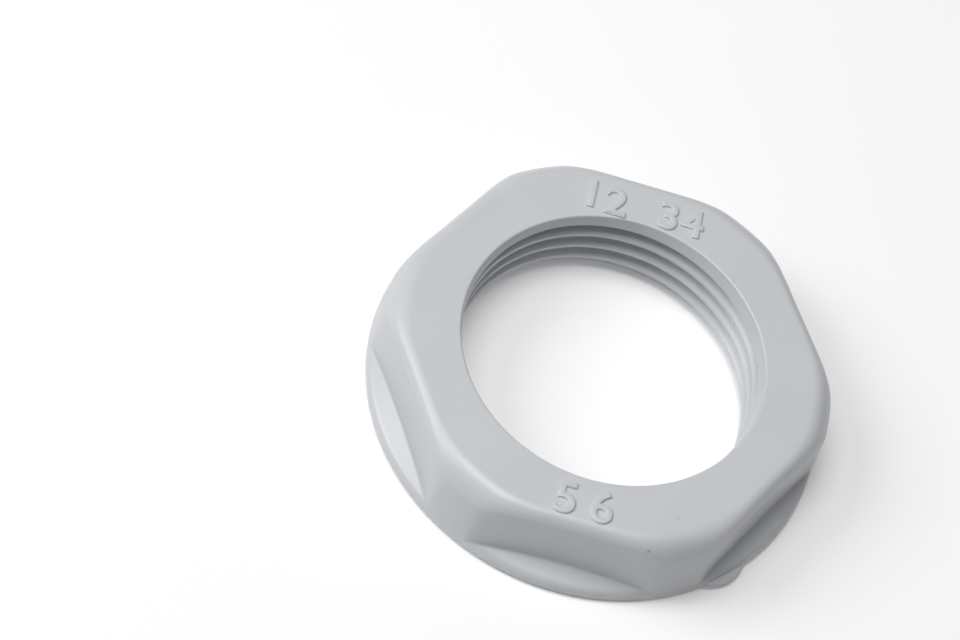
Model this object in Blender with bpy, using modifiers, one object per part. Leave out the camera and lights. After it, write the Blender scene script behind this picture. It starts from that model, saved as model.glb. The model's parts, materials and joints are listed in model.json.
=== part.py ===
# Flanged hexagon locknut for a cable gland, moulded in one piece.
# Metres, +Z up. The nut lies on its bearing face, and the bore's axis is the Z axis.

import math

import bmesh
import bpy
from mathutils import Matrix

# Flange
FLANGE_DIAMETER = 0.0330
FLANGE_LEDGE = 0.0015             # width of its sloping top, from the foot of the flats to the rim
FLANGE_THICKNESS = 0.00155        # at the foot of the flats
RIM_THICKNESS = 0.00112           # to the top of the rim's rounded edge
RIM_TOP_ROUND = 0.00060
RIM_BOTTOM_ROUND = 0.00015
WITNESS_DIAMETER = 0.0296         # line left by the mould's insert in the bearing side
WITNESS_STEP = 0.00005            # how far the band outside that line stands back
RIM_RELIEF = 0.00006              # what that band rises from the line to the rim

# Hexagon
NUT_HEIGHT = 0.0064
ACROSS_FLATS = 0.0300             # at the foot of the flats
FLAT_DRAFT = math.radians(1.5)
TOP_ROUND = 0.00090               # above the flats
CORNER_FOOT_DIAMETER = 0.03286    # over the turned corners, just under where they meet the rim
CORNER_LEAN = math.radians(4)     # of those corners towards the axis
CORNER_TOP_ROUND = 0.0016

# Bore and thread: 22.5 mm conduit thread, 18 turns to the inch, 80 degree flanks
THREAD_MINOR_DIAMETER = 0.0214
THREAD_DEPTH = 0.0006
THREAD_PITCH = 0.0254 / 18
THREAD_ANGLE = math.radians(80)
THREAD_ROOT_WIDTH = 0.00012
THREAD_START_ANGLE = math.radians(-68)  # where the groove's middle would leave the bearing plane
THREAD_RUN_OUT = math.radians(85)       # turn over which the groove fades below the mouth
MOUTH_DEPTH = 0.00110             # plain taper above the thread
MOUTH_FLARE = 0.00018             # what that taper adds to the radius
MOUTH_ROUND = 0.00010
RECESS_CLEARANCE = 0.00003        # the recess under the thread stands this far outside its roots
RECESS_DEPTH = 0.00075
RECESS_SHOULDER = 0.00030
RECESS_ROUND = 0.00025

# Round pits under the corners, in the bearing side
PIT_CIRCLE_DIAMETER = 0.0269
WIDE_PIT_DIAMETER = 0.0019
NARROW_PIT_DIAMETER = 0.00145
PIT_DEPTH = 0.0014

# Remains of the moulding gate on the rim
GATE_ANGLE = math.radians(-46)
GATE_WIDTH = 0.0034
GATE_REACH = 0.00055
GATE_THICKNESS = 0.00038
GATE_LIFT = 0.00010               # above the rim's lower edge
GATE_EDGE_ROUND = 0.00012

# Facets
TURN_STEPS = 96
ROUND_STEPS = 6
SMALL_ROUND_STEPS = 3
PIT_SEGMENTS = 20
GATE_SEGMENTS = 48

# Cutters and blanks
CUT_MARGIN = 0.0010               # how far a cutter passes the faces that it cuts
EDGE_PASS = 0.0002                # how far a rounded edge's last facet runs past its face
SMALL_OVERLAP = 0.00014           # how far the groove's cutter stands inside the crests
HEXAGON_SINK = 0.0009             # how far under the flange's top the hexagon's blank starts

CORNERS = 6
HALF_CORNER = math.pi / CORNERS
FLANGE_RADIUS = FLANGE_DIAMETER / 2
APOTHEM = ACROSS_FLATS / 2
MINOR_RADIUS = THREAD_MINOR_DIAMETER / 2
RECESS_RADIUS = MINOR_RADIUS + THREAD_DEPTH + RECESS_CLEARANCE
CORE_RADIUS = MINOR_RADIUS - CUT_MARGIN   # inner wall of the flange's blank, which the bore removes
HEXAGON_FOOT = FLANGE_THICKNESS - HEXAGON_SINK


def clear_scene():
    for old in list(bpy.data.objects):
        bpy.data.objects.remove(old, do_unlink=True)


def new_collection(name):
    collection = bpy.data.collections.new(name)
    bpy.context.scene.collection.children.link(collection)
    return collection


def new_object(name, bm, collection):
    mesh = bpy.data.meshes.new(name)
    bm.to_mesh(mesh)
    bm.free()
    made = bpy.data.objects.new(name, mesh)
    collection.objects.link(made)
    return made


def arc(centre, radius, start, end, steps):
    # Points of a round edge in the section plane, as (distance from the axis, height)
    points = []
    for step in range(steps + 1):
        angle = math.radians(start + (end - start) * step / steps)
        points.append((centre[0] + radius * math.cos(angle), centre[1] + radius * math.sin(angle)))
    return points


def run_on(first, second, height):
    # Where the line from first through second comes to the given height
    share = (height - first[1]) / (second[1] - first[1])
    return (first[0] + (second[0] - first[0]) * share, height)


def turned(name, profile, collection, closed):
    # The profile is drawn at +X, runs down its outer side, and a Screw modifier turns it
    bm = bmesh.new()
    verts = [bm.verts.new((distance, 0, height)) for distance, height in profile]
    for first, second in zip(verts, verts[1:]):
        bm.edges.new((first, second))
    if closed:
        bm.edges.new((verts[-1], verts[0]))
    made = new_object(name, bm, collection)
    screw = made.modifiers.new("turn", 'SCREW')
    screw.axis = 'Z'
    screw.steps = TURN_STEPS
    screw.render_steps = TURN_STEPS
    screw.use_merge_vertices = True
    screw.merge_threshold = 0.000001
    return made


def make_hexagon(collection):
    # A sharp hexagon with flats to +Y and -Y is drawn up with draft, then its top edges are rounded
    height = NUT_HEIGHT - HEXAGON_FOOT
    foot_apothem = APOTHEM + (FLANGE_THICKNESS - HEXAGON_FOOT) * math.tan(FLAT_DRAFT)
    narrowing = 1 - height * math.tan(FLAT_DRAFT) / foot_apothem
    bm = bmesh.new()
    outline = bmesh.ops.create_circle(bm, cap_ends=True, segments=CORNERS,
                                      radius=foot_apothem / math.cos(HALF_CORNER),
                                      matrix=Matrix.Translation((0, 0, HEXAGON_FOOT))
                                      @ Matrix.Rotation(math.pi / 2, 4, 'Z'))
    extruded = bmesh.ops.extrude_face_region(bm, geom=outline["verts"][0].link_faces[:])
    top_verts = [item for item in extruded["geom"] if isinstance(item, bmesh.types.BMVert)]
    bmesh.ops.scale(bm, verts=top_verts, vec=(narrowing, narrowing, 1))
    bmesh.ops.translate(bm, verts=top_verts, vec=(0, 0, height))
    top_edges = [edge for edge in bm.edges if all(vert in top_verts for vert in edge.verts)]
    bmesh.ops.bevel(bm, geom=top_edges, offset=TOP_ROUND, segments=ROUND_STEPS, profile=0.5,
                    affect='EDGES', clamp_overlap=True)
    bmesh.ops.recalc_face_normals(bm, faces=bm.faces)
    return new_object("hexagon_blank", bm, collection)


def make_corners(collection):
    # Turned body that the hexagon is trimmed to: its top edge, then the wall that leans to the axis.
    # Its facets fall halfway between the rim's
    foot_radius = CORNER_FOOT_DIAMETER / 2
    lean = math.tan(CORNER_LEAN)
    arc_height = NUT_HEIGHT - CORNER_TOP_ROUND
    wall_top = arc_height + CORNER_TOP_ROUND * math.sin(CORNER_LEAN)
    arc_distance = (foot_radius - (wall_top - HEXAGON_FOOT) * lean
                    - CORNER_TOP_ROUND * math.cos(CORNER_LEAN))
    top_edge = arc((arc_distance, arc_height), CORNER_TOP_ROUND, 90, math.degrees(CORNER_LEAN),
                   ROUND_STEPS)
    narrowest = run_on(top_edge[1], top_edge[0], NUT_HEIGHT + EDGE_PASS)
    profile = [(0, NUT_HEIGHT + EDGE_PASS), narrowest]
    profile += top_edge[1:]
    profile += [(foot_radius + CUT_MARGIN * lean, HEXAGON_FOOT - CUT_MARGIN),
                (0, HEXAGON_FOOT - CUT_MARGIN)]
    made = turned("corner_trimmer", profile, collection, closed=False)
    made.rotation_euler.z = math.pi / TURN_STEPS
    return made


def make_flange(collection):
    # Section from the top's inner corner out, down a cone that runs into the rim's round edge,
    # and back along the bearing side. The cone starts inside the hexagon, a little above its foot
    witness_radius = WITNESS_DIAMETER / 2
    band_edge = WITNESS_STEP + RIM_RELIEF
    rim_distance = FLANGE_RADIUS - RIM_TOP_ROUND
    rim_height = RIM_THICKNESS - RIM_TOP_ROUND
    ledge = (FLANGE_RADIUS - FLANGE_LEDGE, FLANGE_THICKNESS)
    away = (ledge[0] - rim_distance, ledge[1] - rim_height)
    touch = math.atan2(away[1], away[0]) - math.acos(RIM_TOP_ROUND / math.hypot(away[0], away[1]))
    rim_edge = arc((rim_distance, rim_height), RIM_TOP_ROUND, math.degrees(touch), 0, ROUND_STEPS)
    cone_start = run_on(rim_edge[0], ledge, FLANGE_THICKNESS + EDGE_PASS)
    profile = [(CORE_RADIUS, cone_start[1]), cone_start]
    profile += rim_edge
    profile += arc((FLANGE_RADIUS - RIM_BOTTOM_ROUND, band_edge + RIM_BOTTOM_ROUND), RIM_BOTTOM_ROUND,
                   0, -90, SMALL_ROUND_STEPS)
    profile += [(witness_radius + WITNESS_STEP, WITNESS_STEP), (witness_radius, 0), (CORE_RADIUS, 0)]
    return turned("flange_blank", profile, collection, closed=True)


def make_bore(collection):
    # Section from above down: rounded mouth, taper, thread crests, shoulder, recess, rounded edge
    mouth_edge = arc((MINOR_RADIUS + MOUTH_FLARE + MOUTH_ROUND, NUT_HEIGHT - MOUTH_ROUND),
                     MOUTH_ROUND, 90, 180, SMALL_ROUND_STEPS)
    recess_edge = arc((RECESS_RADIUS + RECESS_ROUND, RECESS_ROUND),
                      RECESS_ROUND, 180, 270, SMALL_ROUND_STEPS + 1)
    widest_top = run_on(mouth_edge[1], mouth_edge[0], NUT_HEIGHT + EDGE_PASS)
    widest_bottom = run_on(recess_edge[-2], recess_edge[-1], -EDGE_PASS)
    profile = [(0, NUT_HEIGHT + CUT_MARGIN), (widest_top[0], NUT_HEIGHT + CUT_MARGIN), widest_top]
    profile += mouth_edge[1:]
    profile += [(MINOR_RADIUS, NUT_HEIGHT - MOUTH_DEPTH),
                (MINOR_RADIUS, RECESS_DEPTH + RECESS_SHOULDER),
                (RECESS_RADIUS, RECESS_DEPTH)]
    profile += recess_edge[:-1]
    profile += [widest_bottom, (widest_bottom[0], -CUT_MARGIN), (0, -CUT_MARGIN)]
    return turned("bore_cutter", profile, collection, closed=False)


def make_thread(collection):
    # Right-hand groove: it starts in the recess, climbs a pitch a turn and fades below the mouth.
    # Its steps fall halfway between the bore's, and its sections are joined one by one
    flank = math.tan(THREAD_ANGLE / 2)
    inner_half = THREAD_ROOT_WIDTH / 2 + (THREAD_DEPTH + SMALL_OVERLAP) * flank
    section = [(-SMALL_OVERLAP, -inner_half), (-SMALL_OVERLAP, inner_half),
               (THREAD_DEPTH, THREAD_ROOT_WIDTH / 2), (THREAD_DEPTH, -THREAD_ROOT_WIDTH / 2)]
    rise = THREAD_PITCH / math.tau
    lowest = RECESS_DEPTH - inner_half
    highest = NUT_HEIGHT - MOUTH_DEPTH
    step_angle = math.tau / TURN_STEPS
    first_step = math.floor((THREAD_START_ANGLE + lowest / rise) / step_angle)
    last_step = math.ceil((THREAD_START_ANGLE + highest / rise) / step_angle)
    end_angle = (last_step + 0.5) * step_angle

    bm = bmesh.new()
    rings = []
    for step in range(first_step, last_step + 1):
        angle = (step + 0.5) * step_angle
        fade = max(0.0, 1 - (end_angle - angle) / THREAD_RUN_OUT)
        radius = MINOR_RADIUS - fade * (THREAD_DEPTH + SMALL_OVERLAP / 2)
        height = rise * (angle - THREAD_START_ANGLE)
        rings.append([bm.verts.new(((radius + depth) * math.cos(angle),
                                    (radius + depth) * math.sin(angle),
                                    height + rise_in_section))
                      for depth, rise_in_section in section])
    for near, far in zip(rings, rings[1:]):
        for index in range(len(section)):
            after = (index + 1) % len(section)
            bm.faces.new((near[index], near[after], far[after], far[index]))
    bm.faces.new(rings[0])
    bm.faces.new(rings[-1])
    bmesh.ops.recalc_face_normals(bm, faces=bm.faces)
    return new_object("thread_cutter", bm, collection)


def make_pits(collection):
    # Wide and narrow pits by turns, one under each corner
    bm = bmesh.new()
    height = PIT_DEPTH + CUT_MARGIN
    for corner in range(CORNERS):
        radius = (WIDE_PIT_DIAMETER, NARROW_PIT_DIAMETER)[corner % 2] / 2
        place = Matrix.Rotation(2 * HALF_CORNER * corner, 4, 'Z') @ Matrix.Translation(
            (PIT_CIRCLE_DIAMETER / 2, 0, PIT_DEPTH - height / 2))
        bmesh.ops.create_cone(bm, cap_ends=True, segments=PIT_SEGMENTS, radius1=radius,
                              radius2=radius, depth=height, matrix=place)
    return new_object("pit_cutter", bm, collection)


def make_gate(collection):
    # A thin round disc sunk into the rim, of which only a sliver stands out
    disc_radius = (GATE_WIDTH ** 2 / 4 + GATE_REACH ** 2) / (2 * GATE_REACH)
    distance = FLANGE_RADIUS + GATE_REACH - disc_radius
    height = WITNESS_STEP + RIM_RELIEF + GATE_LIFT + GATE_THICKNESS / 2
    bm = bmesh.new()
    bmesh.ops.create_cone(bm, cap_ends=True, segments=GATE_SEGMENTS, radius1=disc_radius,
                          radius2=disc_radius, depth=GATE_THICKNESS)
    rim_edges = [edge for edge in bm.edges
                 if edge.verts[0].co.z * edge.verts[1].co.z > 0]
    bmesh.ops.bevel(bm, geom=rim_edges, offset=GATE_EDGE_ROUND, segments=2, profile=0.5,
                    affect='EDGES', clamp_overlap=True)
    made = new_object("gate_blank", bm, collection)
    made.location = (distance * math.cos(GATE_ANGLE), distance * math.sin(GATE_ANGLE), height)
    return made


def make_material():
    material = bpy.data.materials.new("light_grey_polyamide")
    material.use_nodes = True
    shader = material.node_tree.nodes["Principled BSDF"]
    shader.inputs["Base Color"].default_value = (0.57, 0.58, 0.60, 1)
    shader.inputs["Roughness"].default_value = 0.45
    shader.inputs["Metallic"].default_value = 0
    return material


def main():
    clear_scene()
    parts = new_collection("cable_gland_locknut")
    cutters = new_collection("cutters")

    locknut = make_hexagon(parts)
    locknut.name = "locknut"
    locknut.data.materials.append(make_material())
    for tool, operation in ((make_corners(cutters), 'INTERSECT'),
                            (make_flange(cutters), 'UNION'),
                            (make_gate(cutters), 'UNION'),
                            (make_bore(cutters), 'DIFFERENCE'),
                            (make_thread(cutters), 'DIFFERENCE'),
                            (make_pits(cutters), 'DIFFERENCE')):
        tool.hide_render = True
        tool.display_type = 'WIRE'
        modifier = locknut.modifiers.new(tool.name, 'BOOLEAN')
        modifier.object = tool
        modifier.operation = operation
        modifier.solver = 'EXACT'


main()
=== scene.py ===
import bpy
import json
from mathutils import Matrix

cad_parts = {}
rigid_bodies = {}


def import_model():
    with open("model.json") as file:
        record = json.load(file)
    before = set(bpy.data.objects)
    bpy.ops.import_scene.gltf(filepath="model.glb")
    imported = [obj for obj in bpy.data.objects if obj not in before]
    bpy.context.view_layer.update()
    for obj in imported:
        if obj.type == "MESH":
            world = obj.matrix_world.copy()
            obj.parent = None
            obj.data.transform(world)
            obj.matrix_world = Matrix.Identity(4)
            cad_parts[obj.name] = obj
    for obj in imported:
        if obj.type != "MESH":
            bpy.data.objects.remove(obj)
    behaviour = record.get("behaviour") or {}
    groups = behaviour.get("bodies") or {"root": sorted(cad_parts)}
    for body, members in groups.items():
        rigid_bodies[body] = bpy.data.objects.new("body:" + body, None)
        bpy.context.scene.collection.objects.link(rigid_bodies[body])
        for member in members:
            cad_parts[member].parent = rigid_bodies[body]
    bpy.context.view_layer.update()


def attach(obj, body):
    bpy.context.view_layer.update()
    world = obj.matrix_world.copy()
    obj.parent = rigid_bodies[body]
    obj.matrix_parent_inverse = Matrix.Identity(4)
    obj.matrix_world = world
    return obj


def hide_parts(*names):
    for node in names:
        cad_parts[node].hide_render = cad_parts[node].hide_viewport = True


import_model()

import json
import math

import bmesh
import bpy
from mathutils import Matrix, Vector

# Locknut for a cable gland, in metres, bearing face on z = 0, bore on the Z axis
mm = 0.001
sharpDegrees = 40  # edges that turn by more than this stay sharp
world = bpy.context.scene.world or bpy.data.worlds.new("studio")
bpy.context.scene.world = world


# Small helpers

def addPiece(name, mesh, material):
    piece = bpy.data.objects.new(name, mesh)
    bpy.context.scene.collection.objects.link(piece)
    mesh.materials.clear()
    mesh.materials.append(material)
    return piece


def settle(piece):
    # turns the evaluated modifiers into the piece's own plain mesh
    depsgraph = bpy.context.evaluated_depsgraph_get()
    mesh = bpy.data.meshes.new_from_object(piece.evaluated_get(depsgraph), depsgraph=depsgraph)
    old = piece.data
    piece.modifiers.clear()
    piece.data = mesh
    mesh.name = piece.name
    if old.users == 0:
        bpy.data.meshes.remove(old)


def smoothShade(mesh, degrees):
    mesh.shade_smooth()
    mesh.set_sharp_from_angle(angle=math.radians(degrees))


def arcPoints(centreX, centreZ, radius, startDegrees, endDegrees, steps):
    points = []
    for i in range(steps + 1):
        a = math.radians(startDegrees + (endDegrees - startDegrees) * i / steps)
        points.append((centreX + radius * math.cos(a), centreZ + radius * math.sin(a)))
    return points


# Geometry node helpers

def newTree(name, inputs):
    tree = bpy.data.node_groups.new(name, "GeometryNodeTree")
    tree.interface.new_socket("Geometry", in_out="INPUT", socket_type="NodeSocketGeometry")
    for label, kind, value in inputs:
        socket = tree.interface.new_socket(label, in_out="INPUT", socket_type=kind)
        if value is not None:
            socket.default_value = value
    tree.interface.new_socket("Geometry", in_out="OUTPUT", socket_type="NodeSocketGeometry")
    return tree, tree.nodes.new("NodeGroupInput"), tree.nodes.new("NodeGroupOutput")


def mathNode(tree, operation, *values):
    node = tree.nodes.new("ShaderNodeMath")
    node.operation = operation
    for socket, value in zip(node.inputs, values):
        if isinstance(value, (int, float)):
            socket.default_value = value
        else:
            tree.links.new(value, socket)
    return node.outputs[0]


def runTree(piece, tree, values):
    modifier = piece.modifiers.new(tree.name, 'NODES')
    modifier.node_group = tree
    for item in tree.interface.items_tree:
        if item.in_out == "INPUT" and item.name in values:
            modifier[item.identifier] = values[item.name]
    settle(piece)


# Shading

polyamide = {
    "tint": (0.555, 0.570, 0.592),
    "shade": (0.530, 0.545, 0.566),   # where the colour clouds slightly
    "roughness": 0.36,
    "roughnessSpread": 0.10,
    "grainSize": 0.16 * mm,
    "grainHeight": 0.0012 * mm,
    "grainDetail": 3.0,
    "waveSize": 6.0 * mm,
    "waveHeight": 0.010 * mm,
    "waveDetail": 1.0,
    "cloudRange": (0.3, 0.7),         # part of the wave noise that roughness follows
    "ior": 1.52,
    "fleckTint": (0.10, 0.10, 0.10),
    "fleckCore": 0.4,                 # share of a fleck's radius that is full strength
    "flecks": [
        # x, y, z, radius, how dark
        (5.03 * mm, -14.72 * mm, 5.80 * mm, 0.16 * mm, 0.50),
        (6.48 * mm, -12.01 * mm, 6.40 * mm, 0.12 * mm, 0.28),
    ],
}


def buildMouldedGrain(look):
    # fine grain, slow waviness and faint clouding of a moulded face, shared by the materials
    group = bpy.data.node_groups.new("mouldedGrain", "ShaderNodeTree")
    for label, key in (("Grain Size", "grainSize"), ("Wave Size", "waveSize"),
                       ("Grain Height", "grainHeight"), ("Wave Height", "waveHeight")):
        socket = group.interface.new_socket(label, in_out="INPUT", socket_type="NodeSocketFloat")
        socket.default_value = look[key]
    group.interface.new_socket("Cloud", in_out="OUTPUT", socket_type="NodeSocketFloat")
    group.interface.new_socket("Height", in_out="OUTPUT", socket_type="NodeSocketFloat")
    nodes, links = group.nodes, group.links
    given, out = nodes.new("NodeGroupInput"), nodes.new("NodeGroupOutput")
    coords = nodes.new("ShaderNodeTexCoord")

    def noise(sizeSocket, detail):
        scale = nodes.new("ShaderNodeMath")
        scale.operation = 'DIVIDE'
        scale.inputs[0].default_value = 1.0
        links.new(sizeSocket, scale.inputs[1])
        texture = nodes.new("ShaderNodeTexNoise")
        texture.inputs["Detail"].default_value = detail
        links.new(coords.outputs["Object"], texture.inputs["Vector"])
        links.new(scale.outputs[0], texture.inputs["Scale"])
        return texture.outputs["Fac"]

    grain = noise(given.outputs["Grain Size"], look["grainDetail"])
    wave = noise(given.outputs["Wave Size"], look["waveDetail"])
    tall = mathNode(group, 'MULTIPLY', grain, given.outputs["Grain Height"])
    slow = mathNode(group, 'MULTIPLY', wave, given.outputs["Wave Height"])
    links.new(mathNode(group, 'ADD', tall, slow), out.inputs["Height"])
    links.new(wave, out.inputs["Cloud"])
    return group


def buildPolyamide(name, grainGroup, look):
    material = bpy.data.materials.new(name)
    material.use_nodes = True
    nodes, links = material.node_tree.nodes, material.node_tree.links
    shader = nodes["Principled BSDF"]
    grain = nodes.new("ShaderNodeGroup")
    grain.node_tree = grainGroup
    grain.inputs["Grain Size"].default_value = look["grainSize"]
    grain.inputs["Wave Size"].default_value = look["waveSize"]
    grain.inputs["Grain Height"].default_value = look["grainHeight"]
    grain.inputs["Wave Height"].default_value = look["waveHeight"]

    blend = nodes.new("ShaderNodeMix")
    blend.data_type = 'RGBA'
    blend.inputs["A"].default_value = (*look["shade"], 1)
    blend.inputs["B"].default_value = (*look["tint"], 1)
    links.new(grain.outputs["Cloud"], blend.inputs["Factor"])
    colour = blend.outputs["Result"]

    coords = nodes.new("ShaderNodeTexCoord")
    for x, y, z, radius, darkness in look["flecks"]:  # dark specks in the moulding
        away = nodes.new("ShaderNodeVectorMath")
        away.operation = 'DISTANCE'
        away.inputs[1].default_value = (x, y, z)
        links.new(coords.outputs["Object"], away.inputs[0])
        spot = nodes.new("ShaderNodeMapRange")
        spot.inputs["From Min"].default_value = radius * look["fleckCore"]
        spot.inputs["From Max"].default_value = radius
        spot.inputs["To Min"].default_value = darkness
        spot.inputs["To Max"].default_value = 0.0
        links.new(away.outputs["Value"], spot.inputs["Value"])
        fleck = nodes.new("ShaderNodeMix")
        fleck.data_type = 'RGBA'
        fleck.inputs["B"].default_value = (*look["fleckTint"], 1)
        links.new(spot.outputs["Result"], fleck.inputs["Factor"])
        links.new(colour, fleck.inputs["A"])
        colour = fleck.outputs["Result"]
    links.new(colour, shader.inputs["Base Color"])

    rough = nodes.new("ShaderNodeMapRange")
    rough.inputs["From Min"].default_value = look["cloudRange"][0]
    rough.inputs["From Max"].default_value = look["cloudRange"][1]
    rough.inputs["To Min"].default_value = look["roughness"] - look["roughnessSpread"] / 2
    rough.inputs["To Max"].default_value = look["roughness"] + look["roughnessSpread"] / 2
    links.new(grain.outputs["Cloud"], rough.inputs["Value"])
    links.new(rough.outputs["Result"], shader.inputs["Roughness"])

    bump = nodes.new("ShaderNodeBump")
    bump.inputs["Strength"].default_value = 1.0
    bump.inputs["Distance"].default_value = 1.0
    links.new(grain.outputs["Height"], bump.inputs["Height"])
    links.new(bump.outputs["Normal"], shader.inputs["Normal"])
    shader.inputs["IOR"].default_value = look["ior"]
    return material


mouldedGrain = buildMouldedGrain(polyamide)
polyamideMaterial = buildPolyamide("lightGreyPolyamide", mouldedGrain, polyamide)
print("materials ready")


# Camera at the photograph's angle

cameraView = {
    "place": (-22.0 * mm, -103.4 * mm, 156.9 * mm),
    "right": (0.9586, 0.1924, 0.2100),
    "up": (-0.2767, 0.8051, 0.5250),
    "lens": 99.2,
    "sensorWidth": 36,
    "nearest": 5 * mm,
}


def placeCamera(view):
    lens = bpy.data.cameras.new("photoCamera")
    lens.lens = view["lens"]
    lens.sensor_width = view["sensorWidth"]
    lens.clip_start = view["nearest"]
    camera = bpy.data.objects.new("photoCamera", lens)
    bpy.context.scene.collection.objects.link(camera)
    right = Vector(view["right"]).normalized()
    up = Vector(view["up"])
    up = (up - right * up.dot(right)).normalized()
    back = right.cross(up)
    camera.matrix_world = (Matrix.Translation(view["place"])
                           @ Matrix((right, up, back)).transposed().to_4x4())
    bpy.context.scene.camera = camera


placeCamera(cameraView)


# The nut's body: rings of points round the bore's axis, joined into one skin

nutForm = {
    "flangeRadius": 16.5 * mm,
    "flangeTop": 1.55 * mm,           # at the foot of the flats
    "rimRound": 0.60 * mm,
    "rimCentreHeight": 0.52 * mm,
    "rimFootRound": 0.28 * mm,
    "witnessRadius": 14.8 * mm,
    "witnessStep": 0.05 * mm,
    "rimRelief": 0.06 * mm,
    "height": 6.40 * mm,
    "apothem": 15.0 * mm,
    "draftDegrees": 1.5,
    "topRound": 0.90 * mm,
    "cornerFootRadius": 16.38 * mm,   # corners are cut by one turned surface
    "cornerTopRadius": 16.02 * mm,
    "cornerTopRound": 1.60 * mm,
    "cornerFootBlend": 0.08 * mm,
    "cornerTopBlend": 0.55 * mm,
    "footFillet": 0.12 * mm,
    "filletShare": 0.6,               # most of the ledge that the fillet takes
    "minorRadius": 10.7 * mm,
    "mouthDepth": 1.10 * mm,
    "mouthFlare": 0.18 * mm,
    "mouthRound": 0.16 * mm,
    "recessRadius": 11.33 * mm,
    "recessDepth": 0.75 * mm,
    "recessShoulder": 0.30 * mm,
    "recessRound": 0.25 * mm,
    "edgeStrip": 0.08 * mm,           # narrow flat beside the bearing face's edges, keeps its shading flat
}

# How finely the skin is divided. Tuples are shares of the width or height that the rings cross
skinRows = {
    "columns": 408,
    "face": (0.0, 0.04, 0.35, 0.7, 0.96),
    "topRound": 16,
    "closest": 0.003 * mm,            # rings of the two rounds nearer than this are one
    "flats": (0.2, 0.4, 0.6, 0.8, 0.95),
    "footSearch": 12,
    "fillet": 6,
    "flange": 14,
    "rimFoot": 5,
    "band": (0.5, 0.9),
    "witness": ((1, 1), (0.45, 0.8), (0.1, 0.3), (0, 0)),  # out and up, in steps of the line
    "recessRound": 6,
    "recessWall": 0.55,
    "shoulder": 22,
    "shoulderLead": 0.12 * mm,        # its rings start this far below it
    "shoulderTail": 0.05 * mm,        # and end this far above it
    "wallTop": 5.65 * mm,             # level ring above the thread
    "mouth": (0.35, 0.7),
    "mouthRound": 5,
}

threadForm = {
    "Minor Radius": 10.7 * mm,
    "Depth": 0.60 * mm,
    "Pitch": 25.4 * mm / 18,
    "Half Angle": math.radians(40),
    "Root Width": 0.12 * mm,
    "Start Angle": math.radians(-68),
    "Fade From": 4.97 * mm,           # height of the groove's middle where it starts to fade
    "Fade To": 5.31 * mm,
    "Crest Rounding": 0.10 * mm,
    "Root Rounding": 0.10 * mm,
    "Wall Limit": 11.5 * mm,          # the groove moves no point outside this radius
    "Lowest": 0.5 * mm,
    "Highest": 6.0 * mm,
}

threadRows = {
    "rootBand": 0.06 * mm,            # half the height of the closer rows at the root's corners
    "crestBand": 0.09 * mm,
    "bandSteps": 3,
    "flankSteps": 5,
    "weld": 0.004 * mm,
    "turns": (-2, 5),
}

pitForm = {
    "circleRadius": 13.45 * mm,
    "wideRadius": 0.95 * mm,
    "narrowRadius": 0.725 * mm,
    "depth": 1.4 * mm,
    "edgeRound": 0.05 * mm,
    "roundMiddle": 0.3,               # where the edge's round has its middle, as a share of it
    "segments": 40,
    "floor": [
        # share of the radius, share of the depth, edge rounds short of it
        (0.985, 0.5, 0.0),
        (0.97, 1.0, 2.0),
        (0.93, 1.0, 0.6),
        (0.84, 1.0, 0.0),
        (0.45, 1.0, 0.5),
    ],
}


def roundInset(height, top, size):
    # how far a wall has drawn in at a height, where a quarter round of that size ends at the top
    into = max(0.0, height - (top - size))
    return size - math.sqrt(max(0.0, size ** 2 - into ** 2))


def bodyRadius(form, angle, height):
    # flats leaning in, cut at the corners by one turned surface; flats face 30, 90, ... degrees
    sixth = math.pi / 3
    off = (angle % sixth) - sixth / 2
    up = height - form["flangeTop"]
    flat = form["apothem"] - up * math.tan(math.radians(form["draftDegrees"]))
    flat = (flat - roundInset(height, form["height"], form["topRound"])) / math.cos(off)
    share = up / (form["height"] - form["flangeTop"])
    turned = form["cornerFootRadius"] + (form["cornerTopRadius"] - form["cornerFootRadius"]) * share
    turned -= roundInset(height, form["height"], form["cornerTopRound"])
    blend = form["cornerFootBlend"] + (form["cornerTopBlend"] - form["cornerFootBlend"]) * max(0.0, share)
    mix = min(1.0, max(0.0, 0.5 + 0.5 * (turned - flat) / blend))
    return turned * (1 - mix) + flat * mix - blend * mix * (1 - mix)


def ring(bm, angles, radiusAt, heightAt):
    row = []
    for a in angles:
        r = radiusAt(a) if callable(radiusAt) else radiusAt
        z = heightAt(a) if callable(heightAt) else heightAt
        row.append(bm.verts.new((r * math.cos(a), r * math.sin(a), z)))
    return row


def bridge(bm, rows):
    for rowA, rowB in zip(rows, rows[1:]):
        for i in range(len(rowA)):
            j = (i + 1) % len(rowA)
            bm.faces.new((rowA[i], rowA[j], rowB[j], rowB[i]))


def flangeSection(form):
    # a cone that runs tangent into the rim's round: its height and its length so far at a radius,
    # its point at a length, and the whole length
    rimX, rimZ, rimR = form["flangeRadius"] - form["rimRound"], form["rimCentreHeight"], form["rimRound"]
    footX, footZ = form["apothem"], form["flangeTop"]
    reach = math.hypot(rimX - footX, rimZ - footZ)
    coneSlope = math.atan2(rimZ - footZ, rimX - footX) + math.asin(rimR / reach)
    coneLength = math.sqrt(reach ** 2 - rimR ** 2)
    coneEnd = footX + coneLength * math.cos(coneSlope)

    def heightAt(r):
        if r <= footX:
            return footZ
        if r <= coneEnd:
            return footZ + (r - footX) * math.tan(coneSlope)
        return rimZ + math.sqrt(max(0.0, rimR ** 2 - (r - rimX) ** 2))

    def lengthAt(r):
        if r <= coneEnd:
            return (r - footX) / math.cos(coneSlope)
        return coneLength + rimR * (math.asin(min(1.0, (r - rimX) / rimR)) + coneSlope)

    def pointAt(length):
        if length <= coneLength:
            return footX + length * math.cos(coneSlope), footZ + length * math.sin(coneSlope)
        turn = (length - coneLength) / rimR - coneSlope
        return rimX + rimR * math.sin(turn), rimZ + rimR * math.cos(turn)

    return heightAt, lengthAt, pointAt, coneLength + rimR * (math.pi / 2 + coneSlope)


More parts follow.
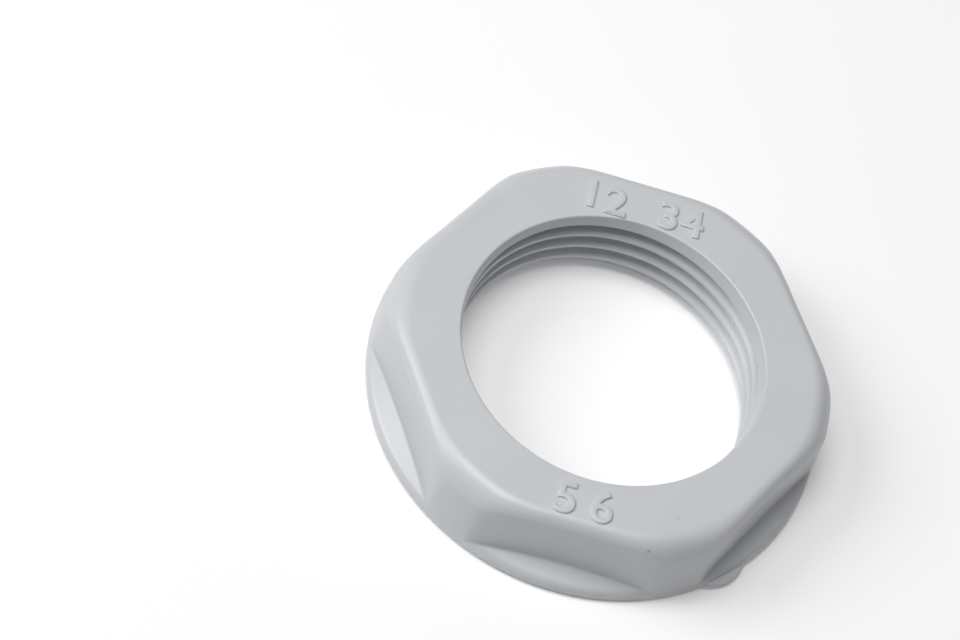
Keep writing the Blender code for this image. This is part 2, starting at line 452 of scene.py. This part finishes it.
def mouthEdge(form):
    return form["minorRadius"] + form["mouthFlare"] + form["mouthRound"]


def topRings(bm, form, fine, angles):
    # top face from the mouth's edge out, then a ring at each step of either round-over
    top = form["height"]
    edge = mouthEdge(form)
    rows = []
    for share in fine["face"]:
        rows.append(ring(bm, angles, lambda a: edge + share * (bodyRadius(form, a, top) - edge), top))
    steps = fine["topRound"]
    levels = [top - radius * (1 - math.cos(math.pi / 2 * i / steps))
              for radius in (form["topRound"], form["cornerTopRound"]) for i in range(steps + 1)]
    last = None
    for z in sorted(levels, reverse=True):
        if last is None or last - z > fine["closest"]:
            rows.append(ring(bm, angles, lambda a: bodyRadius(form, a, z), z))
            last = z
    return rows


def sideRings(bm, form, fine, angles):
    # flats and corners down to the fillet at their foot, and the flange out to the rim's widest line
    flangeTopAt, lengthAt, pointAt, flangeLength = flangeSection(form)
    foot = {}
    for a in angles:
        r = form["apothem"]
        for i in range(fine["footSearch"]):
            r = 0.5 * (r + bodyRadius(form, a, flangeTopAt(r)))
        ledge = form["flangeRadius"] - r
        foot[a] = (flangeTopAt(r), min(form["footFillet"], ledge * form["filletShare"]))
    start = form["height"] - form["cornerTopRound"]
    rows = []
    for share in fine["flats"]:
        def wallHeight(a):
            return start + (sum(foot[a]) - start) * share
        rows.append(ring(bm, angles, lambda a: bodyRadius(form, a, wallHeight(a)), wallHeight))

    def filletRadius(a, turn):
        z = foot[a][0] + foot[a][1] * (1 - math.cos(turn))
        return bodyRadius(form, a, z) + foot[a][1] * (1 - math.sin(turn))

    for i in range(fine["fillet"] + 1):
        turn = math.pi / 2 * (1 - i / fine["fillet"])
        rise = 1 - math.cos(turn)
        rows.append(ring(bm, angles, lambda a: filletRadius(a, turn),
                         lambda a: flangeTopAt(filletRadius(a, turn)) + foot[a][1] * rise))
    filletEnd = {a: lengthAt(filletRadius(a, 0.0)) for a in angles}
    for i in range(1, fine["flange"] + 1):
        def flangePoint(a):
            return pointAt(filletEnd[a] + (flangeLength - filletEnd[a]) * i / fine["flange"])
        rows.append(ring(bm, angles, lambda a: flangePoint(a)[0], lambda a: flangePoint(a)[1]))
    return rows


def rimFootRings(bm, form, fine, angles):
    # rim's foot, outer band of the bearing side and witness line
    step, witness, foot = form["witnessStep"], form["witnessRadius"], form["rimFootRound"]
    bandEdge = step + form["rimRelief"]
    bandOut = form["flangeRadius"] - foot
    section = arcPoints(bandOut, bandEdge + foot, foot, 0, -90, fine["rimFoot"])
    section += [(bandOut + share * (witness + step - bandOut), bandEdge - share * form["rimRelief"])
                for share in fine["band"]]
    section += [(witness + step * out, step * up) for out, up in fine["witness"]]
    section.append((witness - form["edgeStrip"], 0))
    return [ring(bm, angles, r, z) for r, z in section]


def recessRings(bm, form, fine, angles):
    # bearing side inside: recess edge, recess, shoulder
    recess, edge = form["recessRadius"], form["recessRound"]
    section = [(recess + edge + form["edgeStrip"], 0)]
    section += arcPoints(recess + edge, edge, edge, 270, 180, fine["recessRound"])
    section.append((recess, (edge + form["recessDepth"]) * fine["recessWall"]))
    start = form["recessDepth"] - fine["shoulderLead"]
    end = form["recessDepth"] + form["recessShoulder"] + fine["shoulderTail"]
    for i in range(fine["shoulder"] + 1):
        z = start + (end - start) * i / fine["shoulder"]
        share = min(1.0, max(0.0, (z - form["recessDepth"]) / form["recessShoulder"]))
        share = share * share * (3 - 2 * share) * 0.5 + share * 0.5  # half eased, half straight
        section.append((recess + (form["minorRadius"] - recess) * share, z))
    return [ring(bm, angles, r, z) for r, z in section]


def plainBore(form, z):
    # radius of the bore without its thread, with the taper of the mouth
    start = form["height"] - form["mouthDepth"]
    end = form["height"] - form["mouthRound"]
    return form["minorRadius"] + form["mouthFlare"] * min(1.0, max(0.0, (z - start) / (end - start)))


def mouthRings(bm, form, fine, angles):
    # plain taper and rounded edge up to the top face
    end = form["height"] - form["mouthRound"]
    section = [(plainBore(form, z), z) for z in
               [fine["wallTop"] + (end - fine["wallTop"]) * share for share in fine["mouth"]]]
    section += arcPoints(mouthEdge(form), end, form["mouthRound"], 180, 90, fine["mouthRound"])[:-1]
    return [ring(bm, angles, r, z) for r, z in section]


def threadOffsets(thread, fine):
    # heights of one turn's rows from the groove's middle, close together at its corners
    halfRoot = thread["Root Width"] / 2
    halfMouth = halfRoot + thread["Depth"] * math.tan(thread["Half Angle"])
    steps = fine["bandSteps"]
    offsets = {0.0, thread["Pitch"] / 2}
    for middle, spread in ((halfRoot, fine["rootBand"]), (halfMouth, fine["crestBand"])):
        for i in range(-steps, steps + 1):
            offsets.add(middle + spread * i / steps)
    for i in range(1, fine["flankSteps"]):
        offsets.add(halfRoot + (halfMouth - halfRoot) * i / fine["flankSteps"])
    above = [x for x in offsets if x >= 0]
    return sorted(set([-x for x in above if 0 < x < thread["Pitch"] / 2] + above))


def buildThreadWall(bm, form, thread, fine, angles, lowRing, highRing):
    # rows climb with the thread, and end on level rings below and above
    n = len(angles)
    offsets = threadOffsets(thread, fine)
    perTurn = len(offsets)
    startTurn = thread["Start Angle"] / (2 * math.pi)
    lowest, highest = lowRing[0].co.z + fine["weld"], highRing[0].co.z - fine["weld"]
    made = {}

    def wallVert(i, j):
        turn, k = divmod(j, perTurn)
        z = offsets[k] + thread["Pitch"] * (turn + i / n - startTurn)
        if z <= lowest:
            return lowRing[i % n]
        if z >= highest:
            return highRing[i % n]
        key = (i % n, j + perTurn * (i // n))
        if key not in made:
            a = angles[i % n]
            r = plainBore(form, z)
            made[key] = bm.verts.new((r * math.cos(a), r * math.sin(a), z))
        return made[key]

    for i in range(n):
        for j in range(fine["turns"][0] * perTurn, fine["turns"][1] * perTurn):
            corners = (wallVert(i, j), wallVert(i + 1, j), wallVert(i + 1, j + 1), wallVert(i, j + 1))
            face = list(dict.fromkeys(corners))
            if len(face) > 2:
                bm.faces.new(face)


def buildPits(bm, form, pits):
    # round pits under the corners, wide and narrow by turns; gives back their outer edges
    edges = []
    turns = [2 * math.pi * k / pits["segments"] for k in range(pits["segments"])]
    for corner in range(6):
        radius = (pits["wideRadius"], pits["narrowRadius"])[corner % 2]
        a = math.radians(60 * corner)
        x, y = pits["circleRadius"] * math.cos(a), pits["circleRadius"] * math.sin(a)
        soft = pits["edgeRound"]
        half = soft * pits["roundMiddle"]
        section = [(radius + soft + form["edgeStrip"], 0.0), (radius + soft, 0.0),
                   (radius + half, half), (radius, soft)]
        section += [(radius * share, pits["depth"] * deep - soft * short)
                    for share, deep, short in pits["floor"]]
        levels = [[bm.verts.new((x + r * math.cos(t), y + r * math.sin(t), z)) for t in turns]
                  for r, z in section]
        bridge(bm, levels)
        bm.faces.new(levels[-1])
        edges.append(levels[0])
    return edges


def fillBearingFace(bm, loops):
    # a flat web of triangles between the face's two edges and the pits' edges
    edges = []
    for loop in loops:
        for k in range(len(loop)):
            pair = (loop[k], loop[(k + 1) % len(loop)])
            edges.append(bm.edges.get(pair) or bm.edges.new(pair))
    bmesh.ops.triangle_fill(bm, edges=edges, use_beauty=True, use_dissolve=False, normal=(0, 0, -1))


def buildSkin(form, fine, thread, threadFine, pits):
    angles = [2 * math.pi * i / fine["columns"] for i in range(fine["columns"])]
    bm = bmesh.new()
    outside = topRings(bm, form, fine, angles)
    outside += sideRings(bm, form, fine, angles)
    outside += rimFootRings(bm, form, fine, angles)
    recess = recessRings(bm, form, fine, angles)
    wallTop = ring(bm, angles, plainBore(form, fine["wallTop"]), fine["wallTop"])
    mouth = [wallTop] + mouthRings(bm, form, fine, angles) + [outside[0]]
    for rows in (outside, recess, mouth):
        bridge(bm, rows)
    buildThreadWall(bm, form, thread, threadFine, angles, recess[-1], wallTop)
    fillBearingFace(bm, [outside[-1], recess[0]] + buildPits(bm, form, pits))
    bmesh.ops.recalc_face_normals(bm, faces=bm.faces)
    openEdges = sum(1 for edge in bm.edges if len(edge.link_faces) != 2)
    print("skin:", len(bm.faces), "faces,", openEdges, "open edges")
    mesh = bpy.data.meshes.new("locknutBody")
    bm.to_mesh(mesh)
    bm.free()
    return mesh


def buildThreadTree(form):
    # pushes the bore's wall outwards where the helical groove runs
    inputs = [(label, "NodeSocketFloat", value) for label, value in form.items()]
    tree, given, out = newTree("helicalGroove", inputs + [("Material", "NodeSocketMaterial", None)])
    links = tree.links
    get = given.outputs

    def work(operation, *values):
        return mathNode(tree, operation, *values)

    position = tree.nodes.new("GeometryNodeInputPosition")
    split = tree.nodes.new("ShaderNodeSeparateXYZ")
    links.new(position.outputs[0], split.inputs[0])
    x, y, z = split.outputs
    radius = work('SQRT', work('ADD', work('MULTIPLY', x, x), work('MULTIPLY', y, y)))
    turns = work('DIVIDE', work('SUBTRACT', work('ARCTAN2', y, x), get["Start Angle"]), 2 * math.pi)
    along = work('SUBTRACT', work('DIVIDE', z, get["Pitch"]), turns)
    share = work('SUBTRACT', work('FRACT', work('ADD', along, 0.5)), 0.5)
    away = work('MULTIPLY', share, get["Pitch"])  # height above the groove's middle
    middle = work('SUBTRACT', z, away)

    slope = work('TANGENT', get["Half Angle"])
    halfRoot = work('MULTIPLY', get["Root Width"], 0.5)
    halfMouth = work('ADD', halfRoot, work('MULTIPLY', get["Depth"], slope))
    flank = work('DIVIDE', work('SUBTRACT', halfMouth, work('ABSOLUTE', away)), slope)
    cut = work('SMOOTH_MIN', flank, get["Depth"], get["Root Rounding"])
    fade = tree.nodes.new("ShaderNodeMapRange")
    fade.interpolation_type = 'SMOOTHSTEP'
    links.new(middle, fade.inputs["Value"])
    links.new(get["Fade From"], fade.inputs["From Min"])
    links.new(get["Fade To"], fade.inputs["From Max"])
    links.new(work('MULTIPLY', get["Depth"], 1.25), fade.inputs["To Max"])  # a little past its depth
    grooveRadius = work('ADD', get["Minor Radius"], work('SUBTRACT', cut, fade.outputs["Result"]))
    wanted = work('SMOOTH_MAX', radius, grooveRadius, get["Crest Rounding"])

    stretch = work('DIVIDE', wanted, radius)
    place = tree.nodes.new("ShaderNodeCombineXYZ")
    links.new(work('MULTIPLY', x, stretch), place.inputs[0])
    links.new(work('MULTIPLY', y, stretch), place.inputs[1])
    links.new(z, place.inputs[2])
    nearBore = work('LESS_THAN', radius, get["Wall Limit"])
    aboveLowest = work('GREATER_THAN', z, get["Lowest"])
    belowHighest = work('LESS_THAN', z, get["Highest"])
    inHeight = work('MULTIPLY', aboveLowest, belowHighest)
    move = tree.nodes.new("GeometryNodeSetPosition")
    links.new(get["Geometry"], move.inputs["Geometry"])
    links.new(work('MULTIPLY', nearBore, inHeight), move.inputs["Selection"])
    links.new(place.outputs[0], move.inputs["Position"])
    real = tree.nodes.new("GeometryNodeRealizeInstances")
    paint = tree.nodes.new("GeometryNodeSetMaterial")
    links.new(move.outputs[0], real.inputs[0])
    links.new(real.outputs[0], paint.inputs["Geometry"])
    links.new(get["Material"], paint.inputs["Material"])
    links.new(paint.outputs[0], out.inputs[0])
    return tree


nutSkin = buildSkin(nutForm, skinRows, threadForm, threadRows, pitForm)
nutBody = addPiece("locknutBody", nutSkin, polyamideMaterial)
runTree(nutBody, buildThreadTree(threadForm), {**threadForm, "Material": polyamideMaterial})
smoothShade(nutBody.data, sharpDegrees)
print("body:", len(nutBody.data.polygons), "faces")


# Small tongue on the rim, taken as what a moulding gate left

gateForm = {
    "angleDegrees": -46.0,
    "width": 3.4 * mm,
    "reach": 0.55 * mm,
    "bottom": 0.28 * mm,
    "thickness": 0.38 * mm,
    "edgeRound": 0.15 * mm,
    "roundSteps": 4,
    "root": 0.45 * mm,                # how far it runs on inside the rim
    "overrun": 1.15,                  # how far its curve runs past its width
    "steps": 40,
}


def buildGate(form, rimRadius):
    # a round tongue cut off just inside the rim
    tongue = (form["width"] ** 2 / 4 + form["reach"] ** 2) / (2 * form["reach"])
    middle = rimRadius + form["reach"] - tongue
    spread = math.degrees(math.asin(form["width"] / 2 / tongue)) * form["overrun"]
    outline = arcPoints(middle, 0, tongue, -spread, spread, form["steps"])
    inside = rimRadius - form["root"]
    outline += [(inside, outline[-1][1]), (inside, outline[0][1])]
    bm = bmesh.new()
    base = bm.faces.new([bm.verts.new((x, y, 0)) for x, y in outline])
    pushed = bmesh.ops.extrude_face_region(bm, geom=[base])
    raised = [v for v in pushed["geom"] if isinstance(v, bmesh.types.BMVert)]
    bmesh.ops.translate(bm, verts=raised, vec=(0, 0, form["thickness"]))
    bmesh.ops.recalc_face_normals(bm, faces=bm.faces)
    middleHeight = form["thickness"] / 2
    level = [edge for edge in bm.edges
             if (edge.verts[0].co.z - middleHeight) * (edge.verts[1].co.z - middleHeight) > 0]
    bmesh.ops.bevel(bm, geom=level, offset=form["edgeRound"], segments=form["roundSteps"], profile=0.5,
                    affect='EDGES', clamp_overlap=True)
    turn = Matrix.Rotation(math.radians(form["angleDegrees"]), 4, 'Z')
    bmesh.ops.transform(bm, matrix=turn @ Matrix.Translation((0, 0, form["bottom"])), verts=bm.verts)
    mesh = bpy.data.meshes.new("gateVestige")
    bm.to_mesh(mesh)
    bm.free()
    return mesh


gate = addPiece("gateVestige", buildGate(gateForm, nutForm["flangeRadius"]), polyamideMaterial)
smoothShade(gate.data, sharpDegrees)


# Plain raised numbers

numberForm = {
    "digits": [
        # text, x, y of its middle, height
        ("1", -3.80 * mm, 12.15 * mm, 2.45 * mm),
        ("2", -1.95 * mm, 12.00 * mm, 2.45 * mm),
        ("3", 2.00 * mm, 12.10 * mm, 2.45 * mm),
        ("4", 3.80 * mm, 12.05 * mm, 2.45 * mm),
        ("5", -1.20 * mm, -12.95 * mm, 2.50 * mm),
        ("6", 1.30 * mm, -12.95 * mm, 2.50 * mm),
    ],
    "raise": 0.15 * mm,
    "sunk": 0.10 * mm,
    "edgeRound": 0.14 * mm,
    "slimming": 0.05 * mm,
    "digitShare": 0.73,               # height of a digit as a share of the font's size
    "roundSteps": 4,
    "curveSteps": 6,
    "weld": 0.001 * mm,
    "sharpDegrees": 50,
}


def buildNumbers(form, faceHeight):
    bm = bmesh.new()
    for text, x, y, height in form["digits"]:
        curve = bpy.data.curves.new("number", 'FONT')
        curve.body = text
        curve.align_x = 'CENTER'
        curve.align_y = 'CENTER'
        curve.size = height / form["digitShare"]
        curve.extrude = (form["raise"] + form["sunk"]) / 2
        curve.bevel_depth = form["edgeRound"]
        curve.bevel_resolution = form["roundSteps"]
        curve.offset = -form["slimming"]
        curve.resolution_u = form["curveSteps"]
        holder = bpy.data.objects.new("number", curve)
        bpy.context.scene.collection.objects.link(holder)
        depsgraph = bpy.context.evaluated_depsgraph_get()
        mesh = bpy.data.meshes.new_from_object(holder.evaluated_get(depsgraph))
        middle = faceHeight + (form["raise"] - form["sunk"]) / 2 - form["edgeRound"]
        mesh.transform(Matrix.Translation((x, y, middle)))
        bm.from_mesh(mesh)
        bpy.data.objects.remove(holder)
        bpy.data.curves.remove(curve)
        bpy.data.meshes.remove(mesh)
    bmesh.ops.remove_doubles(bm, verts=bm.verts, dist=form["weld"])
    bmesh.ops.recalc_face_normals(bm, faces=bm.faces)
    mesh = bpy.data.meshes.new("raisedNumbers")
    bm.to_mesh(mesh)
    bm.free()
    return mesh


numbers = addPiece("raisedNumbers", buildNumbers(numberForm, nutForm["height"]), polyamideMaterial)
smoothShade(numbers.data, numberForm["sharpDegrees"])
print("small pieces ready")


# Floor and studio light

studio = {
    "floorReach": 2.0,
    "floorTint": (0.84, 0.84, 0.84),
    "floorRoughness": 0.9,
    "floorGlow": 0.12,               # light off the white table all round
    "floorDrop": 0.02 * mm,          # keeps it clear of the bearing face
    "worldTint": (1.0, 1.0, 1.0),
    "worldStrength": 0.0,
    "distance": 0.5,
    "panels": [
        # name, degrees round from +X, degrees up, size, power
        ("leftPanel", 180, 40, 0.26, 1.27),
        ("highLeftPanel", 180, 75, 0.22, 1.00),
        ("overheadPanel", 0, 90, 0.26, 0.64),
        ("frontLeftPanel", 225, 40, 0.26, 0.12),
        ("backPanel", 90, 40, 0.26, 0.13),
        ("rightPanel", 0, 50, 0.26, 0.10),
    ],
}


def buildStudio(form):
    bm = bmesh.new()
    bmesh.ops.create_grid(bm, x_segments=1, y_segments=1, size=form["floorReach"])
    mesh = bpy.data.meshes.new("floor")
    bmesh.ops.translate(bm, verts=bm.verts, vec=(0, 0, -form["floorDrop"]))
    bm.to_mesh(mesh)
    bm.free()
    material = bpy.data.materials.new("paleFloor")
    material.use_nodes = True
    shader = material.node_tree.nodes["Principled BSDF"]
    shader.inputs["Base Color"].default_value = (*form["floorTint"], 1)
    shader.inputs["Roughness"].default_value = form["floorRoughness"]
    shader.inputs["Emission Color"].default_value = (1, 1, 1, 1)
    shader.inputs["Emission Strength"].default_value = form["floorGlow"]
    floor = addPiece("floor", mesh, material)
    background = world.node_tree.nodes["Background"] if world.use_nodes else None
    if background is None:
        world.use_nodes = True
        background = world.node_tree.nodes["Background"]
    background.inputs["Color"].default_value = (*form["worldTint"], 1)
    background.inputs["Strength"].default_value = form["worldStrength"]
    for name, turn, rise, size, power in form["panels"]:
        light = bpy.data.lights.new(name, 'AREA')
        light.shape = 'SQUARE'
        light.size = size
        light.energy = power
        lamp = bpy.data.objects.new(name, light)
        turn, rise = math.radians(turn), math.radians(rise)
        place = Vector((math.cos(rise) * math.cos(turn), math.cos(rise) * math.sin(turn), math.sin(rise)))
        lamp.location = place * form["distance"]
        lamp.rotation_euler = (-place).to_track_quat('-Z', 'Y').to_euler()
        bpy.context.scene.collection.objects.link(lamp)
    bpy.context.scene.view_settings.view_transform = 'Standard'


buildStudio(studio)
print("studio ready")


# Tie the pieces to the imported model

for piece in (nutBody, gate, numbers):
    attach(piece, "root")
    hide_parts("locknut")
